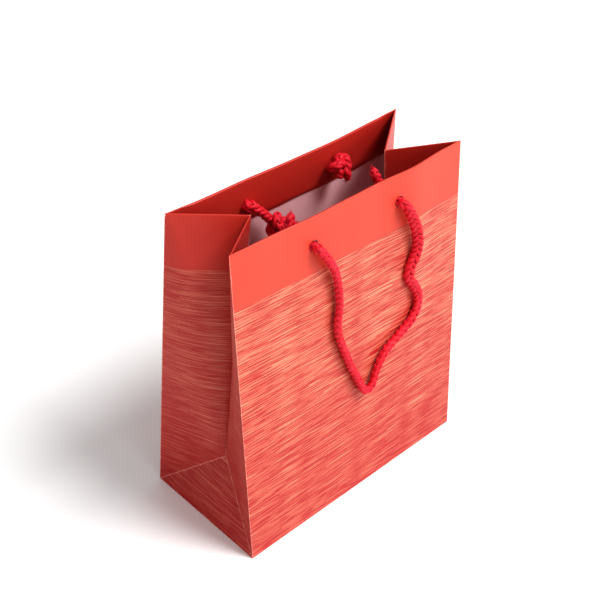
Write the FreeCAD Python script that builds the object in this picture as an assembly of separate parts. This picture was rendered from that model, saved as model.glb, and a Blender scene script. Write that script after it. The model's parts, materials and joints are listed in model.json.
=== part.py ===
import FreeCAD, Part
import math
import os

# A paper gift bag standing on its base with the mouth half open, in millimetres.
# +X runs along the width, +Y to the back and +Z up. The origin is the centre of the base's underside.
# One sheet of card-like paper is folded and glued into all the panels. Each stretch between two
# creases turns against the next one, so it is a solid of its own.

Vector = FreeCAD.Vector

# Driving dimensions
WIDTH = 160.0
DEPTH = 80.0
HEIGHT = 190.0  # along the paper, from the base crease to the top edge
MOUTH_DEPTH = 46.0  # front to back at the top edge, as the bag stands
PAPER = 0.4
CARD = 0.8  # stiffening strip inside the turned top
BOARD = 1.0  # loose card on the bag's floor
HEM_DEPTH = 27.0
CREASE_GAP = 0.5  # from a crease to the edge of each solid beside it
HOLE_SPACING = 60.0
HOLE_BELOW_TOP = 15.5
HOLE_RADIUS = 3.0
CORD_RADIUS = 2.5
STUB_RADIUS = 2.3
STUB_GAP = 0.4  # between the stub in a hole and the cord that turns outside it
KNOT_RADIUS = 5.6
KNOT_LENGTH = 15.0

HOLE_UP = HEIGHT - HOLE_BELOW_TOP
LEAN = math.asin((DEPTH - MOUTH_DEPTH) / 2 / HEIGHT)
LAYERS = PAPER + CARD + PAPER  # panel, strip and hem together
BASE_TOP = 3 * PAPER + BOARD
INSIDE = Vector(0, 0, HEIGHT / 2)
UP = Vector(0, 0, 1)

# Routes of the two handles as they hang, from the left hole to the right one: along the width,
# up the panel from the base crease, and out from its face. A handle swings about the line through
# its two ends, which is far enough out for the cord to clear the panel as it turns.
FRONT_ROUTE = [
    (-30.0, 174.5, 6.0),
    (-25.8, 168.0, 6.3),
    (-19.6, 157.6, 5.7),
    (-16.4, 145.5, 5.0),
    (-15.4, 132.8, 4.5),
    (-17.6, 121.6, 4.1),
    (-14.4, 109.4, 3.8),
    (-8.2, 94.0, 3.4),
    (-2.0, 80.6, 3.2),
    (2.3, 68.8, 3.4),
    (8.9, 68.6, 3.4),
    (13.6, 79.4, 3.2),
    (21.4, 89.0, 3.3),
    (31.0, 94.0, 3.4),
    (38.8, 97.4, 3.5),
    (43.2, 102.2, 3.6),
    (45.0, 108.6, 3.7),
    (43.6, 116.2, 3.7),
    (37.4, 128.6, 3.9),
    (39.4, 137.6, 5.0),
    (40.8, 147.6, 6.4),
    (38.6, 158.2, 7.0),
    (34.2, 167.4, 6.4),
    (30.0, 174.5, 6.0),
]
BACK_ROUTE = [
    (-30.0, 174.5, 3.0),
    (-33.4, 166.0, 3.6),
    (-36.0, 154.0, 4.0),
    (-35.4, 141.0, 3.6),
    (-31.4, 128.6, 3.2),
    (-27.6, 116.4, 3.2),
    (-24.0, 104.0, 3.2),
    (-17.4, 91.6, 3.2),
    (-9.0, 79.6, 3.2),
    (-3.6, 68.4, 3.4),
    (3.0, 67.8, 3.4),
    (8.4, 78.2, 3.2),
    (15.6, 90.0, 3.2),
    (21.4, 102.4, 3.2),
    (24.0, 115.6, 3.2),
    (27.2, 128.6, 3.2),
    (31.6, 141.0, 3.6),
    (34.2, 153.6, 4.0),
    (33.2, 165.6, 3.6),
    (30.0, 174.5, 3.0),
]

ROUTES = {-1: FRONT_ROUTE, 1: BACK_ROUTE}

# Each knot's middle and the tilt of its long side, and its frayed tail from the knot to the end,
# in the same three directions
TAIL_RADIUS = 2.4
KNOTS = {
    "front_left": (-30.0, 174.5, -7.3, 25.0),
    "front_right": (30.0, 174.5, -7.3, -30.0),
    "back_left": (-26.4, 171.4, -11.0, -35.0),
    "back_right": (30.0, 174.5, -7.3, 20.0),
}
TAILS = {
    "front_left": [(-31.0, 177.5, -9.0), (-32.6, 182.4, -10.6), (-31.0, 188.0, -12.0)],
    "front_right": [(28.6, 177.5, -9.0), (26.4, 183.8, -10.6), (25.6, 190.4, -12.0)],
    "back_left": [(-24.0, 170.0, -12.0), (-18.4, 166.0, -13.6), (-14.6, 167.6, -15.6)],
    "back_right": [(33.0, 171.0, -9.5), (36.0, 164.5, -11.0), (35.0, 158.0, -11.5)],
}


def save(name, shape):
    shape.exportStep("parts/" + name + ".step")


def unit(vector):
    return vector * (1.0 / vector.Length)


def plane_normal(points):
    """The unit normal of a flat outline, pointing into the bag."""
    normal = unit((points[1] - points[0]).cross(points[2] - points[0]))
    if normal.dot(INSIDE - points[0]) < 0:
        return normal * -1.0
    return normal


def middle_of(points):
    total = Vector(0, 0, 0)
    for point in points:
        total = total + point
    return total * (1.0 / len(points))


def shrink(points, gaps):
    """Moves each edge of a flat outline inwards by its own gap. Edge i starts at point i."""
    normal = plane_normal(points)
    middle = middle_of(points)
    count = len(points)
    lines = []
    for i in range(count):
        along = unit(points[(i + 1) % count] - points[i])
        inwards = normal.cross(along)
        if inwards.dot(middle - points[i]) < 0:
            inwards = inwards * -1.0
        lines.append((points[i] + inwards * gaps[i], along, inwards))
    corners = []
    for i in range(count):
        start, along, _ = lines[i - 1]
        other, _, inwards = lines[i]
        reach = (other - start).dot(inwards) / along.dot(inwards)
        corners.append(start + along * reach)
    return corners


def plate(points, thickness, depth=0.0):
    """A flat sheet whose outer face lies depth inside the outline's plane."""
    normal = plane_normal(points)
    outline = [point + normal * depth for point in points]
    face = Part.Face(Part.makePolygon(outline + outline[:1]))
    return face.extrude(normal * thickness)


def on_wall(side, x, up, out=0.0):
    """A point on the front (side -1) or back (side 1) wall, out from its outer face."""
    y = side * (DEPTH / 2 - up * math.sin(LEAN) + out * math.cos(LEAN))
    z = up * math.cos(LEAN) + out * math.sin(LEAN)
    return Vector(x, y, z)


def wall_normal(side):
    return Vector(0, side * math.cos(LEAN), math.sin(LEAN))


def wall_outline(side, left, right, low, high):
    corners = [(left, low), (right, low), (right, high), (left, high)]
    return [on_wall(side, x, up) for x, up in corners]


def punched(shape, side):
    """Cuts the two handle holes of a wall through one of its layers."""
    reach = 4 * LAYERS
    for x in (-HOLE_SPACING / 2, HOLE_SPACING / 2):
        start = on_wall(side, x, HOLE_UP, reach / 2)
        shape = shape.cut(Part.makeCylinder(HOLE_RADIUS, reach, start, wall_normal(side) * -1.0))
    return shape


def make_base():
    half_width = WIDTH / 2 - CREASE_GAP
    half_depth = DEPTH / 2 - CREASE_GAP
    overlap = 10.0  # past the middle line, where the two long flaps are glued together
    flap_depth = 30.0
    flap_end = 10.0
    board_gap = 2.5

    def flap(points, level, thickness=PAPER):
        outline = [Vector(x, y, level) for x, y in points]
        face = Part.Face(Part.makePolygon(outline + outline[:1]))
        return face.extrude(UP * thickness)

    def long_flap(side, level):
        points = [
            (-half_width, side * half_depth),
            (half_width, side * half_depth),
            (half_width - half_depth + overlap, -side * overlap),
            (-half_width + half_depth - overlap, -side * overlap),
        ]
        return flap(points, level)

    def end_flap(side):
        outer = side * half_width
        inner = side * (half_width - flap_depth)
        points = [
            (outer, -half_depth + board_gap),
            (outer, half_depth - board_gap),
            (inner, flap_end),
            (inner, -flap_end),
        ]
        return flap(points, 2 * PAPER)

    save("bottom_front_flap", long_flap(-1, 0.0))
    save("bottom_back_flap", long_flap(1, PAPER))
    save("bottom_left_flap", end_flap(-1))
    save("bottom_right_flap", end_flap(1))
    x = WIDTH / 2 - board_gap
    y = DEPTH / 2 - board_gap
    board = [(-x, -y), (x, -y), (x, y), (-x, y)]
    save("base_board", flap(board, 3 * PAPER, BOARD))


def make_wall(name, side):
    """A panel with its stiffening strip and the turned-in hem that covers the strip."""
    foot_gap = 1.2
    strip_inset = 12.0
    strip_depth = 24.0
    hem_inset = 9.0
    edge_gap = 0.2
    reach = WIDTH / 2
    panel = wall_outline(side, -reach, reach, foot_gap, HEIGHT)
    save(name + "_panel", punched(plate(panel, PAPER), side))
    strip = wall_outline(side, -reach + strip_inset, reach - strip_inset, HEIGHT - strip_depth, HEIGHT - edge_gap)
    save(name + "_card_strip", punched(plate(strip, CARD, PAPER), side))
    hem = wall_outline(side, -reach + hem_inset, reach - hem_inset, HEIGHT - HEM_DEPTH, HEIGHT - edge_gap)
    save(name + "_top_hem", punched(plate(hem, PAPER, PAPER + CARD), side))


def make_glue_seam():
    """The tab that closes the sheet into a tube, glued inside the back panel's right edge."""
    seam_width = 13.0
    edge_gap = 1.5
    outer = WIDTH / 2 - edge_gap
    seam = wall_outline(1, outer - seam_width, outer, BASE_TOP + edge_gap, HEIGHT - HEM_DEPTH - edge_gap)
    save("glue_seam", plate(seam, PAPER, PAPER))


def gusset_points(hand):
    """Corners of one side's fold (hand -1 left, 1 right): the middle crease's two ends, then the front
    wall's and the back wall's two corners. The paper's lengths fix both ends of the middle crease."""
    half = DEPTH / 2
    fold = math.acos((1 - math.sin(LEAN)) / math.cos(LEAN))
    apex = Vector(hand * (WIDTH / 2 - half * math.sin(fold)), 0, half * math.cos(fold))
    front_top = on_wall(-1, hand * WIDTH / 2, HEIGHT)
    # The crease's top end is a crease length from the apex and half a depth from both wall corners.
    crease = HEIGHT - half
    level = math.sqrt(half**2 - front_top.y**2)
    span = math.hypot(apex.x - front_top.x, apex.z - front_top.z)
    turn = math.acos((crease**2 + span**2 - level**2) / (2 * crease * span))
    slope = math.atan2(abs(apex.x) - abs(front_top.x), front_top.z - apex.z) + turn
    top = apex + Vector(-hand * math.sin(slope), 0, math.cos(slope)) * crease
    return {
        "apex": apex,
        "top": top,
        "front": (on_wall(-1, hand * WIDTH / 2, 0), front_top),
        "back": (on_wall(1, hand * WIDTH / 2, 0), on_wall(1, hand * WIDTH / 2, HEIGHT)),
    }


def make_gusset(name, hand):
    points = gusset_points(hand)
    apex = points["apex"]
    top = points["top"]
    foot_gap = 2.4
    corner_gap = 1.2
    tip_trim = 3.0  # the corner where both halves' tips would run into the wall
    triangle = [points["front"][0], points["back"][0], apex]
    gaps = [foot_gap, CREASE_GAP, CREASE_GAP]
    save(name + "_base_triangle", plate(shrink(triangle, gaps), PAPER))
    for end in ("front", "back"):
        foot, corner = points[end]
        lower = [foot, apex, corner]
        gaps = [CREASE_GAP, CREASE_GAP, corner_gap]
        save(name + "_gusset_" + end + "_lower", plate(shrink(lower, gaps), PAPER))
        upper = [apex, top, corner + unit(top - corner) * tip_trim, corner + unit(apex - corner) * 3 * tip_trim]
        gaps = [CREASE_GAP, 0.0, 0.0, CREASE_GAP]
        save(name + "_gusset_" + end + "_upper", plate(shrink(upper, gaps), PAPER))
        save(name + "_gusset_" + end + "_hem", gusset_hem(apex, top, corner))


def gusset_hem(apex, top, corner):
    """The turned-in strip along the top of one half of the side fold."""
    corner_gap = 6.0
    down = unit(apex - top) * HEM_DEPTH
    diagonal = (apex - corner) * (HEM_DEPTH / (apex - top).Length)
    outline = [top, corner, corner + diagonal, top + down]
    return plate(shrink(outline, [0.2, corner_gap, 0.0, 2 * CREASE_GAP]), PAPER, PAPER)


def rounded_path(points):
    """Straight runs joined by tangent arcs, each as large as its two runs allow. Returns wire and radii."""
    share = 0.45
    edges = []
    radii = []
    last = points[0]
    for before, corner, after in zip(points, points[1:], points[2:]):
        arriving = unit(corner - before)
        leaving = unit(after - corner)
        half_turn = arriving.getAngle(leaving) / 2
        cut = share * min((corner - before).Length, (after - corner).Length)
        radius = cut / math.tan(half_turn)
        start = corner - arriving * cut
        end = corner + leaving * cut
        towards = unit(leaving - arriving)
        centre = corner + towards * (radius / math.cos(half_turn))
        edges.append(Part.LineSegment(last, start).toShape())
        edges.append(Part.Arc(start, centre - towards * radius, end).toShape())
        radii.append(radius)
        last = end
    edges.append(Part.LineSegment(last, points[-1]).toShape())
    return Part.Wire(edges), radii


def tube(points, radius):
    path, radii = rounded_path(points)
    circle = Part.makeCircle(radius, points[0], points[1] - points[0])
    solid = path.makePipeShell([Part.Wire([circle])], True, True)
    return solid, path.Length, radii


def make_handle(name, side):
    points = [on_wall(side, x, up, out) for x, up, out in ROUTES[side]]
    solid, length, radii = tube(points, CORD_RADIUS)
    share = solid.Volume / (math.pi * CORD_RADIUS**2 * length)
    print(name, "length", round(length, 1), "volume share", round(share, 3), "valid", solid.isValid())
    print("  radii", [round(radius, 1) for radius in radii])
    save(name + "_handle_cord", solid)


def make_knot(name, side):
    """An overhand knot inside a handle hole, with the stub of cord that fills the hole."""
    x, up, out, tilt = KNOTS[name]
    middle = on_wall(side, x, up, out)
    angle = math.radians(tilt)
    across = Vector(1, 0, 0) * math.cos(angle) + (on_wall(side, 0, 1) - on_wall(side, 0, 0)) * math.sin(angle)
    straight = KNOT_LENGTH - 2 * KNOT_RADIUS
    start = middle - across * (straight / 2)
    knot = Part.makeCylinder(KNOT_RADIUS, straight, start, across)
    for end in (start, start + across * straight):
        knot = knot.fuse(Part.makeSphere(KNOT_RADIUS, end))
    stub_end = ROUTES[side][0][2] - CORD_RADIUS - STUB_GAP
    hole_x = math.copysign(HOLE_SPACING / 2, x)
    outside = on_wall(side, hole_x, HOLE_UP, stub_end)
    stub = Part.makeCylinder(STUB_RADIUS, stub_end - out, outside, wall_normal(side) * -1.0)
    save(name + "_knot", knot.fuse(stub).removeSplitter())
    tail = [on_wall(side, *point) for point in TAILS[name]]
    save(name + "_cord_tail", tube(tail, TAIL_RADIUS)[0].cut(knot))


def main():
    os.makedirs("parts", exist_ok=True)
    make_base()
    make_wall("front", -1)
    make_wall("back", 1)
    make_glue_seam()
    make_gusset("left", -1)
    make_gusset("right", 1)
    for name, side in (("front", -1), ("back", 1)):
        make_handle(name, side)
        make_knot(name + "_left", side)
        make_knot(name + "_right", side)


main()
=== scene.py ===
import json
import math
import bmesh
import bpy
import numpy as np
from mathutils import Matrix, Vector
from mathutils.kdtree import KDTree


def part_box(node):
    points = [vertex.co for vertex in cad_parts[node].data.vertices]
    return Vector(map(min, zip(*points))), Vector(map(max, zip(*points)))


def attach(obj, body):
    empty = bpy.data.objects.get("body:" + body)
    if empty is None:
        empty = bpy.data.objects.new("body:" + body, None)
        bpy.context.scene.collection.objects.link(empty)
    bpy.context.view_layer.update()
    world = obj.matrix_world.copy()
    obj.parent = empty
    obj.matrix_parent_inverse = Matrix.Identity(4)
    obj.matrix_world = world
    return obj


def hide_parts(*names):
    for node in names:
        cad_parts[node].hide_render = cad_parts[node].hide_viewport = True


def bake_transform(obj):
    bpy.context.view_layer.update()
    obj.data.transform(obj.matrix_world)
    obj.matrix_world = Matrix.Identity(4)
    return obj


# A paper gift bag: one folded sheet of printed paper, card strips in its turned top, and two
# braided cord handles. Everything is in metres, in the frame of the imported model.

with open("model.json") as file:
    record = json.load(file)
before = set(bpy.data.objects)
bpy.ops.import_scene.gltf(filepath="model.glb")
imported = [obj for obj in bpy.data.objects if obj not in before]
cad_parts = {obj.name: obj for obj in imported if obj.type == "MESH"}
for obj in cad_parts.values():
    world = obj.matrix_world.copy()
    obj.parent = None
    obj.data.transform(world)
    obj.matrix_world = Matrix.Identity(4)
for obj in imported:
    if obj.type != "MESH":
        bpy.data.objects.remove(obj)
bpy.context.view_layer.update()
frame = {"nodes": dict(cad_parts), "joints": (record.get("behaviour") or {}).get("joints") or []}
random = np.random.default_rng(7)

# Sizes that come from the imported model
joints = {joint["name"]: joint for joint in frame["joints"]}
HALF_DEPTH = -joints["front_wall_fold"]["pos_m"][1]
HALF_WIDTH = -joints["left_front_fold_turn"]["pos_m"][0]
LEAN = math.asin(joints["left_front_fold_turn"]["axis"][1])
SIN, COS = math.sin(LEAN), math.cos(LEAN)
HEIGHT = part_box("front_panel")[1].z / COS

# Other sizes of the real bag
MM = 0.001
PAPER = 0.35 * MM
HEM = 27 * MM
CARD = 0.8 * MM
CARD_DEPTH = 24 * MM
CARD_INSET = 12 * MM
BAND = 31.0 * MM  # plain stretch below the top edge
HOLE_X = 30 * MM
HOLE_UP = HEIGHT - 15.5 * MM
HOLE_RADIUS = 3.0 * MM
TAB_WIDTH = 13 * MM
TAB_INSET = 1.5 * MM  # from the corner fold, and from the hem
TAB_FOOT = 4 * MM
TAB_THICKNESS = 0.3 * MM


# ---------------------------------------------------------------- camera

CAMERA_AT = Vector((-0.35229, -0.34222, 0.48472))
CAMERA_AZIMUTH = -0.78339
CAMERA_ELEVATION = 0.65073
CAMERA_ROLL = 0.03683
CAMERA_LENS = 69.0
CAMERA_SENSOR = 36.0
CAMERA_NEAR = 0.01


def make_camera():
    level = math.cos(CAMERA_ELEVATION)
    back = Vector((math.sin(CAMERA_AZIMUTH) * level, -math.cos(CAMERA_AZIMUTH) * level,
                   math.sin(CAMERA_ELEVATION)))
    right = (-back).cross(Vector((0, 0, 1))).normalized()
    up = back.cross(right)
    turned_right = right * math.cos(CAMERA_ROLL) + up * math.sin(CAMERA_ROLL)
    turned_up = up * math.cos(CAMERA_ROLL) - right * math.sin(CAMERA_ROLL)
    data = bpy.data.cameras.new("camera")
    data.lens = CAMERA_LENS
    data.sensor_width = CAMERA_SENSOR
    data.clip_start = CAMERA_NEAR
    camera = bpy.data.objects.new("camera", data)
    rotation = Matrix((turned_right, turned_up, back)).transposed().to_4x4()
    camera.matrix_world = Matrix.Translation(CAMERA_AT) @ rotation
    bpy.context.scene.collection.objects.link(camera)
    bpy.context.scene.camera = camera


# ---------------------------------------------------------------- materials

class Graph:
    """Builds a material's nodes with few words."""

    def __init__(self, name):
        self.material = bpy.data.materials.new(name)
        self.material.use_nodes = True
        self.tree = self.material.node_tree
        self.shader = self.tree.nodes["Principled BSDF"]

    def add(self, kind, inputs=(), **settings):
        node = self.tree.nodes.new(kind)
        for key, value in settings.items():
            setattr(node, key, value)
        for key, value in dict(inputs).items():
            self.put(node.inputs[key], value)
        return node

    def put(self, socket, value):
        if isinstance(value, bpy.types.NodeSocket):
            self.tree.links.new(value, socket)
        else:
            socket.default_value = value

    def math(self, operation, a, b=0.0):
        return self.add("ShaderNodeMath", {0: a, 1: b}, operation=operation).outputs[0]

    def centred(self, noise, reach):
        """Noise that runs about zero, over a range of reach."""
        return self.math("MULTIPLY", self.math("SUBTRACT", noise, 0.5), reach)

    def mix(self, factor, a, b):
        node = self.add("ShaderNodeMix", data_type="RGBA")
        colours = [socket for socket in node.inputs if socket.type == "RGBA"]
        self.put(node.inputs[0], factor)
        self.put(colours[0], a)
        self.put(colours[1], b)
        return [socket for socket in node.outputs if socket.type == "RGBA"][0]

    def step(self, value, low, high, bottom=0.0, top=1.0):
        node = self.add("ShaderNodeMapRange", {"Value": value, "From Min": low, "From Max": high,
                                               "To Min": bottom, "To Max": top})
        node.interpolation_type = "SMOOTHSTEP"
        return node.outputs[0]

    def noise(self, vector, scale=1.0, detail=2.0, roughness=0.5, distortion=0.0):
        node = self.add("ShaderNodeTexNoise", {"Vector": vector, "Scale": scale, "Detail": detail,
                                               "Roughness": roughness, "Distortion": distortion})
        return node.outputs["Fac"]

    def bump(self, height, distance, strength=1.0, normal=None):
        node = self.add("ShaderNodeBump", {"Height": height, "Distance": distance, "Strength": strength})
        if normal is not None:
            self.put(node.inputs["Normal"], normal)
        return node.outputs["Normal"]

    def set(self, **values):
        for key, value in values.items():
            self.put(self.shader.inputs[key.replace("_", " ")], value)


def colour(red, green, blue):
    return (red, green, blue, 1.0)


def stretched(graph, along, height, periods):
    """A vector whose noise runs in streaks: periods are the streaks' length and spacing in metres."""
    node = graph.add("ShaderNodeCombineXYZ", {
        "X": graph.math("DIVIDE", along, periods[0]), "Y": graph.math("DIVIDE", height, periods[1])})
    return node.outputs[0]


def brush_strokes(graph, along, height, shift, kind):
    """Where one kind of stroke shows, from 0 to its strength. shift makes the strokes denser or sparser."""
    periods, slope, low, high, strength = kind
    sloping = graph.math("ADD", height, graph.math("MULTIPLY", along, slope))
    field = graph.noise(stretched(graph, along, sloping, periods), detail=0.0)
    return graph.step(graph.math("ADD", field, shift), low, high, 0.0, strength)


def plain_band(graph, along, up, on_side, turned_in):
    """The ink of the band, and how far a place is in it. The side folds and the hem inside are painted
    darker, as shade.
    """
    wash = graph.noise(stretched(graph, along, up, WASH))
    band = graph.mix(wash, colour(*BAND_DEEP), colour(*BAND_LIGHT))
    # painted shade: the band turns a deeper red on the side folds and on the hem inside
    painted_band_shade = graph.math("MAXIMUM", graph.math("MULTIPLY", on_side, SIDE_PAINTED_SHADE),
                        graph.math("MULTIPLY", turned_in, HEM_PAINTED_SHADE))
    band = graph.mix(painted_band_shade, band, colour(*PAINTED_SHADE_RED))
    ragged = graph.noise(stretched(graph, along, up, RAGGED))
    edge = graph.math("ADD", up, graph.centred(ragged, RAGGED_REACH))
    in_band = graph.step(edge, HEIGHT - BAND - BAND_BLUR, HEIGHT - BAND + BAND_BLUR)
    return band, in_band


def worn_and_highlit_folds(graph, along, up, ink):
    """The coating has cracked and rubbed off along the folds, and a highlight on each fold is painted in
    with it: a paler ink in ragged patches close to the fold.
    """
    crease = graph.add("ShaderNodeAttribute", attribute_name="crease").outputs["Fac"]
    wear_and_highlight_patches = graph.noise(stretched(graph, along, up, WEAR_AND_HIGHLIGHT_PATCHES), detail=4.0, roughness=0.7)
    reach = graph.math("MULTIPLY", graph.step(wear_and_highlight_patches, 0.35, 0.75), WEAR_AND_HIGHLIGHT_REACH)
    wear_and_highlight = graph.step(graph.math("SUBTRACT", crease, reach), 0.0, WEAR_AND_HIGHLIGHT_BLUR, 1.0, 0.0)
    return graph.mix(graph.math("MULTIPLY", wear_and_highlight, WEAR_AND_HIGHLIGHT_SHARE), ink, colour(*WEAR_AND_HIGHLIGHT_INK))


def printed_paper(name, on_sheet=True):
    """Coated red paper printed with brushed horizontal streaks. On the folded sheet there is also the
    plain band above them, painted shade on the side folds, at the foot and on the hem inside, and
    rubbed coating with a painted highlight along the folds."""
    graph = Graph(name)
    if on_sheet:
        place = graph.add("ShaderNodeAttribute", attribute_name="paper").outputs["Vector"]
    else:
        place = graph.add("ShaderNodeTexCoord").outputs["Object"]
    parts = graph.add("ShaderNodeSeparateXYZ", {0: place})
    along, up, turned_in = parts.outputs["X"], parts.outputs["Y"], parts.outputs["Z"]
    ripple = graph.noise(stretched(graph, along, up, RIPPLE), detail=1.0)
    height = graph.math("ADD", up, graph.centred(ripple, RIPPLE_REACH))
    shift = graph.centred(graph.noise(stretched(graph, along, up, PATCH)), PATCH_REACH)
    if on_sheet:
        # denser strokes under the band than towards the foot
        density = graph.step(up, DENSITY_FOOT, HEIGHT - BAND, -DENSITY_REACH, DENSITY_REACH)
        shift = graph.math("ADD", shift, density)
    broad = graph.noise(stretched(graph, along, height, BROAD))
    red = graph.mix(graph.step(broad, 0.35, 0.65), colour(*RED_DEEP), colour(*RED_SOFT))
    dark = brush_strokes(graph, along, height, shift, DARK_STROKES)
    red = graph.mix(dark, red, colour(*RED_DARK))
    lines = brush_strokes(graph, along, height, shift, FINE_STROKES)
    for kind in PALE_STROKES:
        lines = graph.math("MAXIMUM", lines, brush_strokes(graph, along, height, shift, kind))
    if on_sheet:
        # painted shade on the side folds and at the foot: a deeper red, with the pale strokes faded
        turn = graph.math("ADD", graph.math("DIVIDE", along, 4 * HALF_WIDTH), 0.25)
        on_side = graph.math("GREATER_THAN", graph.math("FRACT", turn), 0.5)
        foot = graph.step(up, 0.0, FOOT_SHADE_HEIGHT, FOOT_PAINTED_SHADE, 0.0)
        painted_shade = graph.math("ADD", graph.math("MULTIPLY", on_side, SIDE_PAINTED_SHADE), foot)
        for where, loss in ((on_side, SIDE_SHADE_STROKE_FADE), (foot, FOOT_SHADE_STROKE_FADE)):
            kept = graph.math("SUBTRACT", 1.0, graph.math("MULTIPLY", where, loss))
            lines = graph.math("MULTIPLY", lines, kept)
        red = graph.mix(painted_shade, red, colour(*PAINTED_SHADE_RED))
    ink = graph.mix(lines, red, colour(*PEACH))
    if on_sheet:
        band, in_band = plain_band(graph, along, up, on_side, turned_in)
        ink = worn_and_highlit_folds(graph, along, up, graph.mix(in_band, ink, band))
    grain = graph.noise(place, 900.0, 4.0, 0.7)
    tooth = graph.noise(place, 60.0)
    normal = graph.bump(grain, 0.00004, 0.35)
    normal = graph.bump(tooth, 0.0004, 0.35, normal)
    normal = graph.bump(lines, 0.00002, 0.3, normal)
    roughness = graph.step(grain, 0.3, 0.7, 0.34, 0.46)
    graph.set(Base_Color=ink, Roughness=roughness, Normal=normal, IOR=1.42,
              Coat_Weight=0.05, Coat_Roughness=0.30)
    return graph.material


def plain_paper(name, shade, rough):
    """Uncoated paper or card with fibres in it."""
    graph = Graph(name)
    place = graph.add("ShaderNodeTexCoord").outputs["Object"]
    cloud = graph.noise(place, 45.0, 3.0, 0.6)
    fibre = graph.noise(place, 1400.0, 4.0, 0.75, 0.6)
    cloudy = colour(*(value * 0.93 for value in shade))
    fibres = colour(*(value * 0.8 for value in shade))
    base = graph.mix(graph.step(cloud, 0.3, 0.7), cloudy, colour(*shade))
    base = graph.mix(graph.step(fibre, 0.55, 0.8, 0.0, 0.12), base, fibres)
    graph.set(Base_Color=base, Roughness=graph.step(cloud, 0.2, 0.8, rough, rough + 0.1),
              Normal=graph.bump(fibre, 0.00005, 0.5))
    return graph.material


def cord_yarn(name):
    """Spun yarn: fine fibres run along each strand, with a soft nap."""
    graph = Graph(name)
    yarn = graph.add("ShaderNodeAttribute", attribute_name="yarn").outputs["Vector"]
    parts = graph.add("ShaderNodeSeparateXYZ", {0: yarn})
    along, around, inside = parts.outputs["X"], parts.outputs["Y"], parts.outputs["Z"]
    spun = graph.math("ADD", around, graph.math("MULTIPLY", along, 160.0))
    lines = graph.add("ShaderNodeCombineXYZ", {
        "X": graph.math("MULTIPLY", along, 420.0), "Y": graph.math("MULTIPLY", spun, 9.0)}).outputs[0]
    fibre = graph.noise(lines, detail=4.0, roughness=0.65)
    place = graph.add("ShaderNodeTexCoord").outputs["Object"]
    cloud = graph.noise(place, 260.0, 3.0, 0.6)
    base = graph.mix(graph.step(fibre, 0.3, 0.7), colour(*CORD_DEEP), colour(*CORD_RED))
    base = graph.mix(graph.step(cloud, 0.45, 0.75, 0.0, 0.35), base, colour(*CORD_LIGHT))
    base = graph.mix(graph.step(inside, 0.0, 0.9, 0.60, 0.0), base, colour(*CORD_SHADOW))
    graph.set(Base_Color=base, Roughness=graph.step(fibre, 0.2, 0.8, 0.62, 0.5),
              Normal=graph.bump(fibre, 0.00016, 0.8), Sheen_Weight=0.08, Sheen_Roughness=0.45)
    graph.shader.inputs["Sheen Tint"].default_value = colour(*YARN_SHEEN)
    return graph.material


def floor_material():
    graph = Graph("pale_floor")
    place = graph.add("ShaderNodeTexCoord").outputs["Object"]
    shade = graph.mix(graph.noise(place, 3.0), colour(0.90, 0.90, 0.90), colour(0.93, 0.93, 0.93))
    graph.set(Base_Color=shade, Roughness=0.6)
    return graph.material


# Inks and yarns, as linear colours
RED_SOFT = (0.50, 0.040, 0.034)
RED_DEEP = (0.47, 0.033, 0.030)
RED_DARK = (0.36, 0.018, 0.020)
# a red painted as shade on the side folds, at the foot and on the hem inside
PAINTED_SHADE_RED = (0.43, 0.016, 0.018)
PEACH = (0.80, 0.32, 0.205)
BAND_LIGHT = (0.67, 0.096, 0.058)
BAND_DEEP = (0.62, 0.074, 0.046)
# paler ink along the folds: rubbed coating, with a painted highlight
WEAR_AND_HIGHLIGHT_INK = (0.92, 0.45, 0.38)
CORD_RED = (0.78, 0.016, 0.048)
CORD_DEEP = (0.60, 0.007, 0.024)
CORD_LIGHT = (0.92, 0.085, 0.140)
CORD_SHADOW = (0.30, 0.001, 0.008)
YARN_SHEEN = (1.0, 0.45, 0.45)

# The length and spacing of each variation in the print, and how far it goes
RIPPLE = (0.060, 0.030)
RIPPLE_REACH = 0.0012
PATCH = (0.045, 0.016)
PATCH_REACH = 0.07
BROAD = (0.070, 0.0045)
WASH = (0.05, 0.08)
RAGGED = (0.004, 0.5)
RAGGED_REACH = 0.0006
BAND_BLUR = 0.0001
WEAR_AND_HIGHLIGHT_PATCHES = (0.0016, 0.0016)
WEAR_AND_HIGHLIGHT_REACH = 0.0007
WEAR_AND_HIGHLIGHT_BLUR = 0.0002
WEAR_AND_HIGHLIGHT_SHARE = 0.40

# Kinds of stroke: length and spacing, slope, the noise between which it fades in, and strength
DARK_STROKES = ((0.022, 0.00042), -0.010, 0.50, 0.64, 0.50)
FINE_STROKES = ((0.020, 0.00034), 0.014, 0.48, 0.64, 0.30)
PALE_STROKES = (
    ((0.020, 0.00042), 0.030, 0.63, 0.66, 0.75),
    ((0.014, 0.00038), -0.014, 0.63, 0.66, 0.60),
    ((0.034, 0.00054), 0.010, 0.63, 0.66, 0.95),
)

# How the print changes over the bag, and the shade painted on the side folds, at the foot and on the hem
# inside
DENSITY_FOOT = 0.02
DENSITY_REACH = 0.020
SIDE_PAINTED_SHADE = 0.50
SIDE_SHADE_STROKE_FADE = 0.45
FOOT_SHADE_HEIGHT = 0.11
FOOT_PAINTED_SHADE = 0.5
FOOT_SHADE_STROKE_FADE = 0.5
HEM_PAINTED_SHADE = 0.55

PRINTED = printed_paper("printed_paper")
PRINTED_BASE = printed_paper("printed_base", on_sheet=False)
# White paper, tinted in place of the red light that comes through it and off the walls
WHITE = plain_paper("white_paper", (0.97, 0.64, 0.66), 0.55)
CUT_EDGE = plain_paper("cut_edge", (0.82, 0.66, 0.62), 0.7)
GREY_CARD = plain_paper("grey_card", (0.62, 0.60, 0.58), 0.75)
YARN = cord_yarn("cord_yarn")


# ---------------------------------------------------------------- places on the bag

BOW_FOOT = 0.045  # how far up the wall its curve starts


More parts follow.
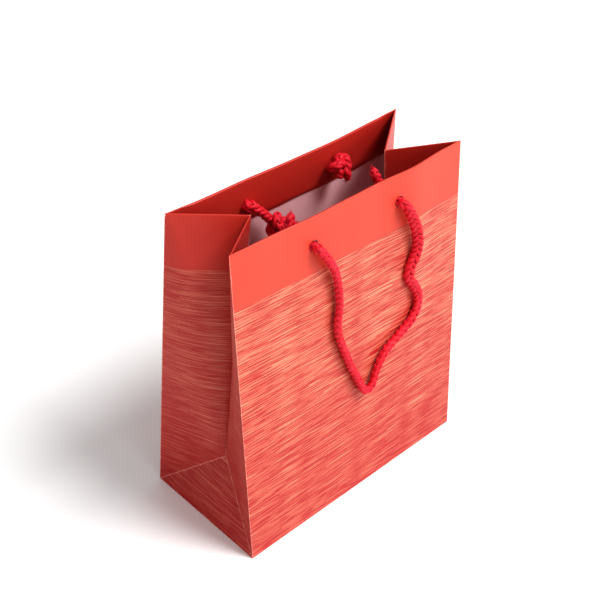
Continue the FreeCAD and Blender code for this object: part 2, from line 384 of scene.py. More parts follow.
def on_wall(side, x, up, out=0.0):
    """A point on the front (side -1) or back (side 1) wall, out from its outer face."""
    return Vector((x, side * (HALF_DEPTH - up * SIN + out * COS), up * COS + out * SIN))


def outwards(side):
    return on_wall(side, 0, 0, 1) - on_wall(side, 0, 0, 0)


def wall_place(side, point):
    """The opposite of on_wall: along the width, up the wall and out from it."""
    back = side * point.y - HALF_DEPTH
    return point.x, point.z * COS - back * SIN, point.z * SIN + back * COS


def smooth(value):
    value = min(max(value, 0.0), 1.0)
    return value * value * (3 - 2 * value)


def hump(x, middle, width):
    return math.exp(-((x - middle) / width) ** 2)


def bow(side, x, up):
    """How far a wall's outer face stands out from its plane. The mouth edge has taken a curve, which
    fades out down the wall, with small waves. Their heights are in millimetres."""
    across = max(0.0, 1 - (x / HALF_WIDTH) ** 2)
    rise = smooth((up - BOW_FOOT) / (HEIGHT - BOW_FOOT))
    belly = across * math.sin(math.pi * min(max(up / HEIGHT, 0.0), 1.0))
    if side < 0:
        curve = 2.5 * across**1.15 - 0.8 * hump(x, 0.012, 0.026)
        curve = curve + 1.3 * hump(x, 0.038, 0.020) * min(1.0, 3 * across)
        wave = 0.22 * math.sin(x / 0.0058 + 0.7) + 0.16 * math.sin(x / 0.0101 + up / 0.060)
        return MM * (rise * curve + across * rise * wave + 0.35 * belly)
    curve = -1.7 * across**1.2 - 0.5 * across * math.sin(x / 0.021)
    wave = 0.15 * math.sin(x / 0.0075) + 0.12 * math.sin(x / 0.0125 + up / 0.055)
    return MM * (rise * curve + across * rise * wave + 0.5 * belly)


# ---------------------------------------------------------------- paper

def spread(low, high, step):
    """Even places from low to high, about a step apart."""
    count = max(2, round((high - low) / step))
    return [low + (high - low) * i / count for i in range(count + 1)]


def new_object(name, points, faces, materials, indices=None):
    mesh = bpy.data.meshes.new(name)
    mesh.from_pydata([tuple(point) for point in points], [], faces)
    for material in materials:
        mesh.materials.append(material)
    if indices is not None:
        mesh.polygons.foreach_set("material_index", indices)
    piece = bpy.data.objects.new(name, mesh)
    bpy.context.scene.collection.objects.link(piece)
    return piece


SHARP = math.radians(35)
OUTER, INNER, EDGE = 0, 1, 2
LAYER_GAP = 0.06 * MM
CARD_SLACK = 0.1 * MM
CARD_EASE = 2 * MM  # the hem rises over the strip's ends in twice this
CARD_RAMP = 3.5 * MM  # and over its lower edge in this
CARD_TOP = 1.2 * MM  # the strip stops this far below the top edge
CARD_DEPTH_IN = PAPER + 0.05 * MM
CUTTER_LENGTH = 0.02
HOLE_SIDES = 48
ROLL_STEPS = 6
HEM_STARTS = 1.5 * PAPER  # deeper inside the outer face than this is the turned-in layer

# Shares of the way up the outside, and down the hem, closer together where the paper turns or rises
RISES = [0.0, 0.003, 0.008, 0.016] + spread(0.03, 0.86, 0.016) + spread(0.87, 1.0, 0.010)
HEM_RISES = [0.05, 0.12, 0.2, 0.3, 0.4, 0.5, 0.6, 0.7, 0.78, 0.84, 0.88, 0.91, 0.94, 0.97, 1.0]


def tidy_mesh(piece):
    """Faces point outwards, and only real edges stay sharp."""
    work = bmesh.new()
    work.from_mesh(piece.data)
    bmesh.ops.remove_doubles(work, verts=work.verts, dist=1e-7)
    bmesh.ops.dissolve_degenerate(work, edges=work.edges, dist=1e-7)
    bmesh.ops.recalc_face_normals(work, faces=work.faces)
    work.to_mesh(piece.data)
    work.free()
    piece.data.shade_smooth()
    piece.data.set_sharp_from_angle(angle=SHARP)


def lay_paper(piece, place):
    """Stores each point's place in the print, whether it is on the turned-in hem, and its distance from
    the nearest fold. place(point) gives these four numbers."""
    places = np.array([place(vertex.co) for vertex in piece.data.vertices], np.float32)
    paper = piece.data.attributes.new("paper", "FLOAT_VECTOR", "POINT")
    paper.data.foreach_set("vector", places[:, :3].ravel())
    crease = piece.data.attributes.new("crease", "FLOAT", "POINT")
    crease.data.foreach_set("value", places[:, 3].copy())


def nearest_place(points, places):
    """Looks up the place that was noted for the nearest of the points."""
    tree = KDTree(len(points))
    for index, point in enumerate(points):
        tree.insert(point, index)
    tree.balance()
    return lambda co: places[tree.find(co)[1]]


def corner_room(away):
    """The share of its thickness that paper has at a distance from a corner fold."""
    return 0.02 + 0.42 * away / MM


def crease_room(away):
    """The same at a distance from the base, middle and diagonal creases."""
    return 0.05 + 0.9 * away / MM


def turned_sheet(name, columns, foot, place, gap, hem_edge, taper):
    """A sheet of paper with its top turned in: up the outside, over the top and down to the hem's edge.
    columns are places across it, foot(a) is its lowest point, place(a, up, depth) puts a point that lies
    depth inside the outer face, gap(a, up) is the room between the layers and taper(a, up) thins them."""
    layers = []
    for a in columns:
        edge = hem_edge(a)
        low = foot(a)
        scale = taper(a, HEIGHT)
        top_gap = gap(a, HEIGHT) * scale
        radius = (2 * PAPER * scale + top_gap) / 2
        start = HEIGHT - radius
        rises = sorted([low + (start - low) * t for t in RISES] + [HALF_DEPTH])
        outer = [(up, 0.0) for up in rises]
        inner = [(up, PAPER * taper(a, up)) for up in rises]
        inner_radius = max(top_gap / 2, 1e-6)
        for i in range(1, ROLL_STEPS):
            turn = math.pi * i / ROLL_STEPS
            outer.append((start + radius * math.sin(turn), radius * (1 - math.cos(turn))))
            inner.append((start + inner_radius * math.sin(turn), radius - inner_radius * math.cos(turn)))
        for t in HEM_RISES:
            up = start + (edge - start) * t
            here = taper(a, up)
            room = gap(a, up)
            outer.append((up, (2 * PAPER + room) * here))
            inner.append((up, (PAPER + room) * here))
        layers.append([place(a, up, depth) for up, depth in outer + inner[::-1]])
    count = len(layers[0])
    half = count // 2
    outside = len(RISES)
    points = [point for layer in layers for point in layer]
    faces, indices = [], []
    for column in range(len(layers) - 1):
        first, second = column * count, (column + 1) * count
        for i in range(count):
            j = (i + 1) % count
            faces.append((first + i, first + j, second + j, second + i))
            indices.append(OUTER if i < half - 1 else EDGE if i in (half - 1, count - 1) else INNER)
    for column in (0, len(layers) - 1):
        first = column * count
        for i in range(half - 1):
            faces.append((first + i, first + i + 1, first + count - 2 - i, first + count - 1 - i))
            indices.append(EDGE if i >= outside else OUTER)
    return new_object(name, points, faces, [PRINTED, WHITE, CUT_EDGE], indices)


def punch(piece, side):
    """Cuts the two handle holes through every layer of a wall."""
    turn = Vector((0, 0, 1)).rotation_difference(outwards(side)).to_matrix().to_4x4()
    for x in (-HOLE_X, HOLE_X):
        work = bmesh.new()
        bmesh.ops.create_cone(work, cap_ends=True, segments=HOLE_SIDES, radius1=HOLE_RADIUS,
                              radius2=HOLE_RADIUS, depth=CUTTER_LENGTH)
        placed = Matrix.Translation(on_wall(side, x, HOLE_UP)) @ turn
        bmesh.ops.transform(work, matrix=placed, verts=work.verts)
        mesh = bpy.data.meshes.new("cutter")
        work.to_mesh(mesh)
        work.free()
        cutter = bpy.data.objects.new("cutter", mesh)
        bpy.context.scene.collection.objects.link(cutter)
        modifier = piece.modifiers.new("hole", "BOOLEAN")
        modifier.operation = "DIFFERENCE"
        modifier.solver = "EXACT"
        modifier.object = cutter
        bpy.context.view_layer.update()
        cut = bpy.data.meshes.new_from_object(piece.evaluated_get(bpy.context.evaluated_depsgraph_get()))
        piece.modifiers.clear()
        piece.data = cut
        bpy.data.objects.remove(cutter)
    for face in piece.data.polygons:
        x, up, _ = wall_place(side, face.center)
        if math.hypot(abs(x) - HOLE_X, up - HOLE_UP) < HOLE_RADIUS * 1.004:
            face.material_index = EDGE


def wall_columns():
    """Places across a wall, closer together near its corner folds."""
    near_fold = [0.0, 0.0006, 0.0015, 0.003, 0.0055, 0.0085, 0.012, 0.0155]
    left = [-HALF_WIDTH + a for a in near_fold]
    return left + spread(-0.062, 0.062, 0.002) + [-a for a in left[::-1]]


def make_wall(name, side):
    def gap(x, up):
        room = smooth((HALF_WIDTH - CARD_INSET + CARD_EASE - abs(x)) / (2 * CARD_EASE))
        rise = smooth((up - (HEIGHT - CARD_DEPTH - CARD_RAMP)) / CARD_RAMP)
        return LAYER_GAP + (CARD + CARD_SLACK) * room * rise

    def taper(x, up):
        return min(1.0, corner_room(HALF_WIDTH - abs(x)), crease_room(up))

    def hem_edge(x):
        """The hem's cut edge wanders a little."""
        return HEIGHT - HEM + 0.5 * MM * math.sin(x / 0.013 + side) + 0.3 * MM * math.sin(x / 0.0047)

    def place(x, up, depth):
        return on_wall(side, x, up, bow(side, x, up) - depth)

    def paper_place(point):
        x, up, out = wall_place(side, point)
        from_fold = max(min(HALF_WIDTH - abs(x), up), 0.0)
        along = x if side < 0 else 4 * HALF_WIDTH - x
        turned_in = bow(side, x, up) - out > HEM_STARTS
        return along, up, turned_in, from_fold

    piece = turned_sheet(name + "_paper", wall_columns(), lambda x: 0.0, place, gap, hem_edge, taper)
    tidy_mesh(piece)
    punch(piece, side)
    piece.data.set_sharp_from_angle(angle=SHARP)
    lay_paper(piece, paper_place)
    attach(piece, name + "_wall")
    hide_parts(name + "_panel", name + "_top_hem")

    strip = strip_piece(name + "_stiffener", side, -HALF_WIDTH + CARD_INSET, HALF_WIDTH - CARD_INSET,
                        HEIGHT - CARD_DEPTH, HEIGHT - CARD_TOP, CARD_DEPTH_IN, CARD, GREY_CARD)
    punch(strip, side)
    for face in strip.data.polygons:
        face.material_index = 0
    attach(strip, name + "_wall")
    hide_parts(name + "_card_strip")


def slab_faces(outer, inner):
    """Faces of a thin slab, from outer by inner places with a point on each of its two layers, and the
    layer that each face belongs to. Its rims belong to the first."""
    def at(i, j, layer):
        return (i * inner + j) * 2 + layer

    faces, layers = [], []
    for i in range(outer - 1):
        for j in range(inner - 1):
            for layer in (0, 1):
                faces.append((at(i, j, layer), at(i + 1, j, layer),
                              at(i + 1, j + 1, layer), at(i, j + 1, layer)))
                layers.append(layer)
        for j in (0, inner - 1):
            faces.append((at(i, j, 0), at(i + 1, j, 0), at(i + 1, j, 1), at(i, j, 1)))
            layers.append(0)
    for j in range(inner - 1):
        for i in (0, outer - 1):
            faces.append((at(i, j, 0), at(i, j + 1, 0), at(i, j + 1, 1), at(i, j, 1)))
            layers.append(0)
    return faces, layers


def strip_piece(name, side, left, right, low, high, depth, thickness, material):
    """A strip of card or paper that lies against the inside of a wall and follows its curve."""
    points = []
    columns, rows = spread(left, right, 3 * MM), spread(low, high, 4 * MM)
    for x in columns:
        for up in rows:
            for inside in (depth, depth + thickness):
                points.append(on_wall(side, x, up, bow(side, x, up) - inside))
    faces, _ = slab_faces(len(columns), len(rows))
    piece = new_object(name, points, faces, [material])
    tidy_mesh(piece)
    return piece


BEND_SHARE = 0.95
GUSSET_FOOT = 0.4 * MM  # a side fold half starts this far up, where it is almost a point
APEX_STOP = 0.08 * MM  # the base triangle ends this far below its point
TRIANGLE_SAG = 0.5 * MM
DIAGONAL = 0.7  # from a distance along a row to the distance from the diagonal fold


class Fold:
    """The side fold's shape on one side (hand -1 left, 1 right) at one end (side -1 front, 1 back)."""

    def __init__(self, hand, side):
        word = ("left" if hand < 0 else "right") + ("_front" if side < 0 else "_back")
        self.foot = on_wall(side, hand * HALF_WIDTH, 0)
        self.corner = on_wall(side, hand * HALF_WIDTH, HEIGHT)
        self.apex = Vector(joints[word + "_pleat_turn"]["pos_m"])
        crease = HEIGHT - HALF_DEPTH
        level = math.sqrt(HALF_DEPTH**2 - self.corner.y**2)
        span = math.hypot(self.apex.x - self.corner.x, self.apex.z - self.corner.z)
        turn = math.acos((crease**2 + span**2 - level**2) / (2 * crease * span))
        slope = math.atan2(abs(self.apex.x) - abs(self.corner.x), self.corner.z - self.apex.z) + turn
        self.top = self.apex + Vector((-hand * math.sin(slope), 0, math.cos(slope))) * crease
        self.line = math.hypot(HALF_DEPTH, crease)
        low = self.on_lower(HALF_DEPTH, HEIGHT)
        self.turned = (self.top - low) / self.past_line(HALF_DEPTH, HEIGHT)
        self.normal = (self.apex - self.foot).cross(self.corner - self.foot).normalized()
        if self.normal.dot(Vector((0, 0, self.corner.z)) - self.foot) < 0:
            self.normal = -self.normal

    def past_line(self, s, up):
        """How far a place lies above the line from the middle crease's foot to the wall's top corner."""
        return (s * (HEIGHT - HALF_DEPTH) - (HEIGHT - up) * HALF_DEPTH) / self.line

    def on_lower(self, s, up):
        along = (self.corner - self.foot) / HEIGHT
        across = (self.apex - self.foot - along * HALF_DEPTH) / HALF_DEPTH
        return self.foot + along * up + across * s

    def point(self, s, up):
        """A place on the outer face: s from the wall's corner fold, up from the base. The paper bends
        gently across the line, over the room that it has on both sides of it."""
        past = self.past_line(s, up)
        room = 0.0
        if up > HALF_DEPTH:
            room = BEND_SHARE * min(self.past_line(HALF_DEPTH, up), -self.past_line(0.0, up))
        if past > room or room <= 1e-9:
            lift = max(past, 0.0)
        elif past < -room:
            lift = 0.0
        else:
            lift = (past + room) ** 2 / (4 * room)
        return self.on_lower(s, up) + self.turned * lift

    def reach(self, up):
        return min(up, HALF_DEPTH)


def make_gusset(hand, side):
    name = ("left" if hand < 0 else "right") + ("_front" if side < 0 else "_back")
    half_name = name.replace("_", "_gusset_")
    fold = Fold(hand, side)
    columns = [0.0, 0.02, 0.05, 0.1] + spread(0.16, 0.9, 0.06) + [0.94, 0.97, 1.0]
    middle = columns[-1]
    noted_points, noted_places = [], []

    def spot(q, up):
        """Places are shares of the way across, so that the half narrows to a point at its foot."""
        return q * fold.reach(up)

    def gap(q, up):
        return LAYER_GAP

    def taper(q, up):
        s = spot(q, up)
        inner_room = 1.0 if up > HALF_DEPTH else crease_room(fold.reach(up) - s)
        return min(1.0, corner_room(s), inner_room, crease_room(up))

    def hem_edge(q):
        """The hem's cut edge wanders a little."""
        return HEIGHT - HEM + 0.5 * MM * math.sin(6 * q + side) + 0.2 * MM * math.sin(19 * q)

    def place(q, up, depth):
        s = spot(q, up)
        here = fold.point(s, up)
        across = fold.point(min(s + MM, fold.reach(up)), up) - fold.point(max(s - MM, 0.0), up)
        below = fold.point(min(s, fold.reach(up - MM)), max(up - MM, 0.0))
        rise = fold.point(s, min(up + MM, HEIGHT)) - below
        if up < 2 * MM:
            normal = fold.normal
        else:
            normal = across.cross(rise).normalized()
            if normal.dot(fold.normal) < 0:
                normal = -normal
        inside = here + normal * depth
        if q == middle and up > HALF_DEPTH:
            # mitred against the other half, on the bag's middle plane
            way = across.normalized()
            inside = inside - way * (inside.y / way.y)
        # the print runs on from the front wall over the front half, and from the back wall over the other
        sheet = HALF_WIDTH + s if side < 0 else 3 * HALF_WIDTH - s
        if hand < 0:
            sheet = -sheet if side < 0 else 8 * HALF_WIDTH - sheet
        noted_points.append(inside)
        from_fold = min(abs(fold.reach(up) - s), s, up)
        noted_places.append((sheet, up, depth > HEM_STARTS, from_fold))
        return inside

    piece = turned_sheet(half_name + "_paper", columns, lambda q: GUSSET_FOOT, place, gap, hem_edge, taper)
    tidy_mesh(piece)
    lay_paper(piece, nearest_place(noted_points, noted_places))
    across = (fold.apex - fold.corner).normalized().cross(fold.normal)
    if across.dot(fold.top - fold.apex) < 0:
        across = -across
    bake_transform(piece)
    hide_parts(half_name + "_lower", half_name + "_upper", half_name + "_hem")


def make_triangle(hand):
    """The stretch between the base fold and the two diagonal folds."""
    name = "left" if hand < 0 else "right"
    front, back = Fold(hand, -1), Fold(hand, 1)
    rows = [0.0, 0.01, 0.03, 0.07] + spread(0.12, 0.94, 0.05) + [0.98, 1.0]
    columns = [0.0, 0.02, 0.06] + spread(0.12, 0.88, 0.05) + [0.94, 0.98, 1.0]
    normal = (back.foot - front.foot).cross(front.apex - front.foot).normalized()
    if normal.dot(Vector((-hand, 0, 0))) < 0:
        normal = -normal
    points, places = [], []
    for r in rows:
        up = r * (HALF_DEPTH - APEX_STOP)
        left = front.on_lower(up, up)
        right = back.on_lower(up, up)
        for q in columns:
            here = left.lerp(right, q)
            sideways = min(q, 1 - q) * 2 * (HALF_DEPTH - up)
            sag = TRIANGLE_SAG * math.sin(math.pi * q) * math.sin(math.pi * r)
            room = min(1.0, crease_room(sideways), crease_room(up))
            sheet = hand * (HALF_WIDTH + up + q * 2 * (HALF_DEPTH - up))
            for layer in (0, 1):
                points.append(here - normal * sag + normal * (PAPER * room * layer))
                places.append((sheet, up, 0.0, min(sideways * DIAGONAL, up)))
    faces, layers = slab_faces(len(rows), len(columns))
    piece = new_object(name + "_base_triangle_paper", points, faces, [PRINTED, WHITE], layers)
    tidy_mesh(piece)
    lay_paper(piece, nearest_place(points, places))
    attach(piece, name + "_base_fold")
    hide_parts(name + "_base_triangle")


def make_paper():
    make_wall("front", -1)
    make_wall("back", 1)
    for hand in (-1, 1):
        make_triangle(hand)
        for side in (-1, 1):
            make_gusset(hand, side)
    seam = strip_piece("back_glue_tab", 1, HALF_WIDTH - TAB_INSET - TAB_WIDTH, HALF_WIDTH - TAB_INSET,
                       TAB_FOOT, HEIGHT - HEM - TAB_INSET, PAPER, TAB_THICKNESS, WHITE)
    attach(seam, "back_wall")
    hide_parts("glue_seam")
    for node in ("bottom_front_flap", "bottom_back_flap", "bottom_left_flap", "bottom_right_flap"):
        dress(node, PRINTED_BASE)
    dress("base_board", GREY_CARD)


def dress(node, material):
    """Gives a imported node, whose shape stays, a new material."""
    piece = frame["nodes"][node]
    piece.data.materials.clear()
    piece.data.materials.append(material)


# ---------------------------------------------------------------- braided cord

# Each handle's control points, from hole to hole: along the width, up the wall and out from it, in mm
FRONT_ROUTE = [
    (-30.0, 174.5, -4.0),
    (-30.0, 174.5, 3.2),
    (-29.4, 173.6, 6.4),
    (-25.8, 168.0, 6.3),
    (-19.6, 157.6, 5.7),
    (-16.4, 145.5, 5.0),
    (-15.4, 132.8, 4.5),
    (-17.6, 121.6, 4.1),
    (-14.4, 109.4, 3.8),
    (-8.2, 94.0, 3.4),
    (-2.0, 80.6, 3.2),
    (2.4, 68.5, 3.4),
    (8.9, 68.4, 3.4),
    (13.2, 79.2, 3.2),
    (19.6, 87.6, 3.3),
    (29.6, 92.4, 3.4),
    (38.2, 96.2, 3.5),
    (43.6, 101.4, 3.6),
    (45.6, 108.6, 3.7),
    (43.2, 117.0, 3.7),
    (36.2, 126.2, 3.9),
    (37.0, 133.2, 4.5),
    (40.4, 139.6, 5.2),
    (41.0, 148.0, 6.4),
    (38.6, 158.2, 7.0),
    (34.2, 167.4, 6.8),
    (30.6, 173.4, 6.6),
    (30.0, 174.5, 3.2),
    (30.0, 174.5, -4.0),
]
BACK_ROUTE = [
    (-30.0, 174.5, -5.5),
    (-30.0, 174.5, 0.4),
    (-30.6, 173.4, 3.4),
    (-33.4, 166.0, 3.6),
    (-36.0, 154.0, 4.0),
    (-35.4, 141.0, 3.6),
    (-31.4, 128.6, 3.2),
    (-27.6, 116.4, 3.2),
    (-24.0, 104.0, 3.2),
    (-17.4, 91.6, 3.2),
    (-9.0, 79.6, 3.2),
    (-3.6, 68.4, 3.4),
    (3.0, 67.8, 3.4),
    (8.4, 78.2, 3.2),
    (15.6, 90.0, 3.2),
    (21.4, 102.4, 3.2),
    (24.0, 115.6, 3.2),
    (27.2, 128.6, 3.2),
    (31.6, 141.0, 3.6),
    (34.2, 153.6, 4.0),
    (33.2, 165.6, 3.6),
    (30.4, 173.4, 3.4),
    (30.0, 174.5, 0.4),
    (30.0, 174.5, -5.5),
]
ROUTES = {-1: FRONT_ROUTE, 1: BACK_ROUTE}

# Where along the cord, as a share of its length, its flat is turned how far from the panel, in degrees
TWISTS = {
    -1: ([0.0, 0.25, 0.45, 0.5, 0.6, 0.75, 1.0], [-40, -38, -30, -20, -10, -30, -40]),
    1: ([0.0, 0.3, 0.5, 0.7, 1.0], [10, 0, 15, 5, -10]),
}

# The same for half its width, in millimetres
FLATS = {
    -1: ([0.0, 0.2, 0.45, 0.5, 0.62, 0.72, 0.85, 1.0], [1.95, 1.95, 1.95, 1.95, 2.2, 2.6, 3.0, 2.6]),
    1: ([0.0, 0.5, 1.0], [2.6, 2.3, 2.6]),
}

# Half the cord's width in the holes, its half thickness outside, and how it changes near each end
HOLE_HALF = {-1: 2.1 * MM, 1: 2.8 * MM}
HALF_THICK = 1.8 * MM
ROUND_END = 6 * MM
FLATTENING = 10 * MM
TURNING_END = 16 * MM

STRANDS_EACH_WAY = 4
STRAND_SIDES = 8
BRAID_PITCH = 14.4 * MM
STRAND_WIDE = 1.14 * MM
STRAND_THICK = 0.86 * MM
FULL_STRAND = 1.6 * MM  # in a cord with a smaller half size than this, the strands are thinner
CORE_LEAST = 0.15 * MM
WEAVE = 0.55 * MM  # how far a strand rises over and dips under
SAMPLE = 0.45 * MM


def smooth_line(points, name):
    """The points along a NURBS curve that has these control points."""
    data = bpy.data.curves.new(name, "CURVE")
    data.dimensions = "3D"
    data.resolution_u = 24
    spline = data.splines.new("NURBS")
    spline.points.add(len(points) - 1)
    for spline_point, point in zip(spline.points, points):
        spline_point.co = (*point, 1.0)
    spline.order_u = 3
    spline.use_endpoint_u = True
    curve = bpy.data.objects.new(name, data)
    bpy.context.scene.collection.objects.link(curve)
    bpy.context.view_layer.update()
    mesh = bpy.data.meshes.new_from_object(curve)
    line = np.array([vertex.co for vertex in mesh.vertices])
    bpy.data.objects.remove(curve)
    return line


def evenly(line, step):
    """The same line with a point every step, and its length."""
    runs = np.linalg.norm(np.diff(line, axis=0), axis=1)
    at = np.concatenate([[0.0], np.cumsum(runs)])
    count = max(8, int(round(at[-1] / step)))
    wanted = np.linspace(0, at[-1], count + 1)
    return np.stack([np.interp(wanted, at, line[:, i]) for i in range(3)], axis=1), wanted


def normalised(vectors):
    return vectors / np.maximum(np.linalg.norm(vectors, axis=-1, keepdims=True), 1e-12)


def carried_frames(line, first):
    """Unit tangents and a direction across the line that doesn't spin about it."""
    tangents = normalised(np.gradient(line, axis=0))
    across = np.array(first, float)
    frames = []
    for tangent in tangents:
        across = across - tangent * across.dot(tangent)
        across = across / np.linalg.norm(across)
        frames.append(across)
    across = np.array(frames)
    return tangents, across, np.cross(tangents, across)


def tube_faces(start, rings, sides):
    """Faces of a capped tube whose points begin at start and follow ring by ring."""
    faces = []
    for ring in range(rings - 1):
        a, b = start + ring * sides, start + (ring + 1) * sides
        for corner in range(sides):
            other = (corner + 1) % sides
            faces.append((a + corner, a + other, b + other, b + corner))
    last = start + (rings - 1) * sides
    faces.append(tuple(start + corner for corner in range(sides))[::-1])
    faces.append(tuple(last + corner for corner in range(sides)))
    return faces


def yarn_object(name, points, faces, yarns):
    """yarns gives each point's place along its strand and round it, and how far out of the braid it is."""
    piece = new_object(name, points, faces, [YARN])
    attribute = piece.data.attributes.new("yarn", "FLOAT_VECTOR", "POINT")
    attribute.data.foreach_set("vector", np.array(yarns, np.float32).ravel())
    piece.data.shade_smooth()
    return piece


def braid(name, line, length, across, beside, wide, thick):
    """Strands that pass over two and under two round an oval core, as one mesh. They rise and dip by
    quarters of the section, which makes chevrons. wide and thick are the cord's half sizes."""
    sides = STRAND_SIDES
    points, faces, yarns = [], [], []
    turns = 2 * math.pi * length / BRAID_PITCH
    for way in (1, -1):
        for strand in range(STRANDS_EACH_WAY):
            angle = way * turns + (strand + (0.25 if way < 0 else 0.0)) * 2 * math.pi / STRANDS_EACH_WAY
            lift = way * WEAVE * np.sin(2 * angle)
            core_wide = np.maximum(wide - STRAND_THICK, CORE_LEAST)
            core_thick = np.maximum(thick - STRAND_THICK, CORE_LEAST)
            x, y = np.cos(angle), np.sin(angle)
            outward = normalised(across * (x / core_wide)[:, None] + beside * (y / core_thick)[:, None])
            middle = line + across * (core_wide * x)[:, None] + beside * (core_thick * y)[:, None]
            middle = middle + outward * lift[:, None]
            along = normalised(np.gradient(middle, axis=0))
            outward = normalised(outward - along * np.sum(outward * along, axis=1)[:, None])
            sideways = np.cross(along, outward)
            size = np.clip(np.minimum(wide, thick) / FULL_STRAND, 0.25, 1.0)
            start = len(points)
            # each strand was laid a little slack here and tight there
            slack = 1 + 0.13 * np.sin(length / (1.7 * MM) + 2.1 * strand + way)
            slack = slack + 0.10 * np.sin(length / (4.3 * MM) + 1.3 * strand)
            size = size * slack
            for i in range(len(line)):
                depth = 0.5 + 0.5 * lift[i] / WEAVE
                for corner in range(sides):
                    turn = 2 * math.pi * corner / sides
                    offset = sideways[i] * (math.cos(turn) * STRAND_WIDE * size[i])
                    offset = offset + outward[i] * (math.sin(turn) * STRAND_THICK * size[i])
                    points.append(middle[i] + offset)
                    shown = 0.55 + 0.45 * math.sin(turn)
                    yarns.append((length[i], turn + strand * 1.7, shown * (0.55 + 0.45 * depth)))
            faces += tube_faces(start, len(line), sides)
    return yarn_object(name, points, faces, yarns)


def make_handle(name, side):
    points = [on_wall(side, x * MM, up * MM, out * MM) for x, up, out in ROUTES[side]]
    line, length = evenly(smooth_line(points, name + "_route"), SAMPLE)
    out = np.array(outwards(side))
    tangents, across, beside = carried_frames(line, (1, 0, 0))
    # the flat of the cord keeps its angle to the panel between the holes
    total = length[-1]
    flat = normalised(np.cross(out, tangents))
    turned = np.unwrap(np.arctan2(np.sum(flat * beside, axis=1), np.sum(flat * across, axis=1)))
    clear = (length > TURNING_END) & (length < total - TURNING_END)
    turned = np.interp(length, length[clear], turned[clear])
    share = length / total
    twist = np.radians(np.interp(share, *TWISTS[side]))
    angle = turned + twist
    wide_way = across * np.cos(angle)[:, None] + beside * np.sin(angle)[:, None]
    thick_way = np.cross(tangents, wide_way)
    end = np.minimum(length, total - length)
    squeeze = np.clip((end - ROUND_END) / FLATTENING, 0, 1)
    squeeze = squeeze * squeeze * (3 - 2 * squeeze)
    plump = HOLE_HALF[side]
    wide = plump + (np.interp(share, *FLATS[side]) * MM - plump) * squeeze
    thick = plump + (HALF_THICK - plump) * squeeze
    piece = braid(name + "_braid", line, length, wide_way, thick_way, wide, thick)
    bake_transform(piece)
    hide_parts(name + "_cord")


# An overhand knot's control points, in knot units: across, up and into the bag
KNOT = [
    (0.2, -0.3, -1.9),
    (2.1, -0.5, -1.3),
    (2.8, 1.5, -0.1),
    (1.0, 2.3, 1.1),
    (-0.9, 0.7, 0.2),
    (-1.4, -1.9, -1.1),
    (-0.1, -3.1, 0.1),
    (1.5, -2.0, 1.2),
    (0.9, 0.5, 0.1),
    (-1.0, 2.2, -1.1),
    (-2.8, 1.6, 0.0),
    (-2.3, -0.3, 1.2),
]
KNOT_UNIT = 1.75
KNOT_DEPTH = 1.12  # how much deeper than its drawing the knot is
TAPER = 4 * MM
TIP_HALF = 0.85 * MM
KNOT_HALF = 1.25 * MM  # what the tip's half size grows by
SWELL = 0.85 * MM
SWELL_LENGTH = 6 * MM

# For each knot: the cord from the hole, the knot's middle, its turn in degrees, whether it is mirrored,
# and the tail from the knot to its frayed tip, along the width, up the wall and out from it
KNOTS = {
    "front_left": ([(-30, 174.5, -2.0)], (-30.0, 174.5, -7.0), 25, 1,
                   [(-32.8, 177.6, -11.0), (-32.2, 181.6, -12.0), (-30.4, 186.4, -12.6)]),
    "front_right": ([(30, 174.5, -2.0)], (30.0, 174.5, -7.0), -30, -1,
                    [(30.5, 179.0, -11.0), (27.6, 184.0, -11.4), (25.4, 189.6, -12.0)]),
    "back_left": ([(-30, 174.5, -3.5), (-29.4, 175.6, -6.0), (-25.6, 172.2, -7.0), (-21.0, 167.4, -8.4)],
                  (-15.4, 160.8, -11.6), -40, 1,
                  [(-12.8, 160.4, -15.0), (-9.8, 160.4, -16.0), (-7.6, 161.8, -16.4)]),
    "back_right": ([(30, 174.5, -3.5)], (29.4, 177.4, -8.6), 15, -1,
                   [(31.4, 174.8, -12.2), (33.4, 171.6, -12.4), (33.4, 168.8, -11.6)]),
}


def make_knot(name):
    side = -1 if name.startswith("front") else 1
    lead, middle, degrees, mirror, tail = KNOTS[name]
    turn = math.radians(degrees)
    knot = []
    for x, up, into in KNOT:
        x = x * mirror
        knot.append((middle[0] + KNOT_UNIT * (x * math.cos(turn) - up * math.sin(turn)),
                     middle[1] + KNOT_UNIT * (x * math.sin(turn) + up * math.cos(turn)),
                     middle[2] - KNOT_UNIT * KNOT_DEPTH * into))
    points = [on_wall(side, x * MM, up * MM, out * MM) for x, up, out in lead + knot + tail]
    line, length = evenly(smooth_line(points, name + "_route"), SAMPLE)
    tangents, across, beside = carried_frames(line, (1, 0.2, 0.1))
    left = length[-1] - length
    half = TIP_HALF + KNOT_HALF * np.sqrt(np.clip(left / TAPER, 0.0, 1.0))
    if side > 0:
        # the cord is fuller where it leaves the back wall's hole
        half = half + SWELL * np.clip(1 - length / SWELL_LENGTH, 0.0, 1.0)
    wide, thick = half * 1.12, half * 0.95
    piece = braid(name + "_knot_cord", line, length, across, beside, wide, thick)
    wall = "front_wall" if side < 0 else "back_wall"
    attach(piece, wall)
    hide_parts(name + "_knot", name + "_cord_tail")
    frayed = fray(name + "_frayed_end", line, tangents, across, beside)
    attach(frayed, wall)
    return [piece, frayed]


FRAY_FIBRES = 34
FIBRE_RADIUS = 0.11 * MM


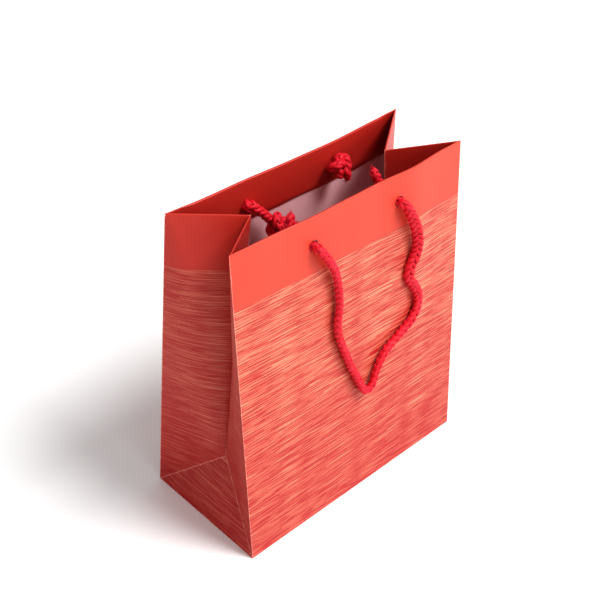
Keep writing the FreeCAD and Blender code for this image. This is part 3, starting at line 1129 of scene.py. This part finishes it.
def fray(name, line, tangents, across, beside):
    """Loose fibres at the cord's cut end."""
    sides, rings = 4, 6
    points, faces, yarns = [], [], []
    for _ in range(FRAY_FIBRES):
        turn = random.uniform(0, 2 * math.pi)
        back = random.uniform(0.0, 2.5) * MM
        reach = random.uniform(1.2, 3.0) * MM
        sway = random.uniform(0.1, 0.55)
        i = max(0, len(line) - 1 - int(back / SAMPLE))
        outward = across[i] * math.cos(turn) + beside[i] * math.sin(turn)
        base = line[i] + outward * random.uniform(0.1, 0.6) * MM
        start = len(points)
        for ring in range(rings):
            t = ring / (rings - 1)
            centre = base + tangents[i] * reach * t + outward * reach * sway * t * t
            radius = FIBRE_RADIUS * (1 - 0.8 * t)
            for corner in range(sides):
                angle = 2 * math.pi * corner / sides
                points.append(centre + (across[i] * math.cos(angle) + beside[i] * math.sin(angle)) * radius)
                yarns.append((reach * t, angle, 0.9))
        faces += tube_faces(start, rings, sides)
    return yarn_object(name, points, faces, yarns)


def make_cords():
    for name, side in (("front", -1), ("back", 1)):
        knots = make_knot(name + "_left") + make_knot(name + "_right")
        make_handle(name + "_handle", side)


# ---------------------------------------------------------------- floor and light

FLOOR_REACH = 12.0
FLOOR_DROP = 0.1 * MM
WORLD_STRENGTH = 0.42
AIM = Vector((0, 0, 0.08))

# Each round lamp's name, place, width and power
LAMPS = (
    ("key", (2.90, -2.15, 1.05), 1.1, 15.5),
    ("front", (-0.60, -3.40, 1.50), 2.2, 12.0),
    ("top", (1.30, -2.40, 4.30), 2.0, 165.0),
)


def make_studio():
    reach = FLOOR_REACH
    corners = [(-reach, -reach, 0), (reach, -reach, 0), (reach, reach, 0), (-reach, reach, 0)]
    floor = new_object("floor", corners, [(0, 1, 2, 3)], [floor_material()])
    floor.location.z = -FLOOR_DROP
    world = bpy.data.worlds.new("studio")
    world.use_nodes = True
    background = world.node_tree.nodes["Background"]
    background.inputs["Color"].default_value = colour(1.0, 1.0, 1.0)
    background.inputs["Strength"].default_value = WORLD_STRENGTH
    bpy.context.scene.world = world
    for name, at, size, power in LAMPS:
        data = bpy.data.lights.new(name, "AREA")
        data.shape = "DISK"
        data.size = size
        data.energy = power
        lamp = bpy.data.objects.new(name, data)
        lamp.location = at
        lamp.rotation_euler = (AIM - Vector(at)).to_track_quat("-Z", "Y").to_euler()
        bpy.context.scene.collection.objects.link(lamp)
    bpy.context.scene.view_settings.view_transform = "Standard"
    bpy.context.scene.view_settings.look = "High Contrast"


make_camera()
make_cords()
make_paper()
make_studio()
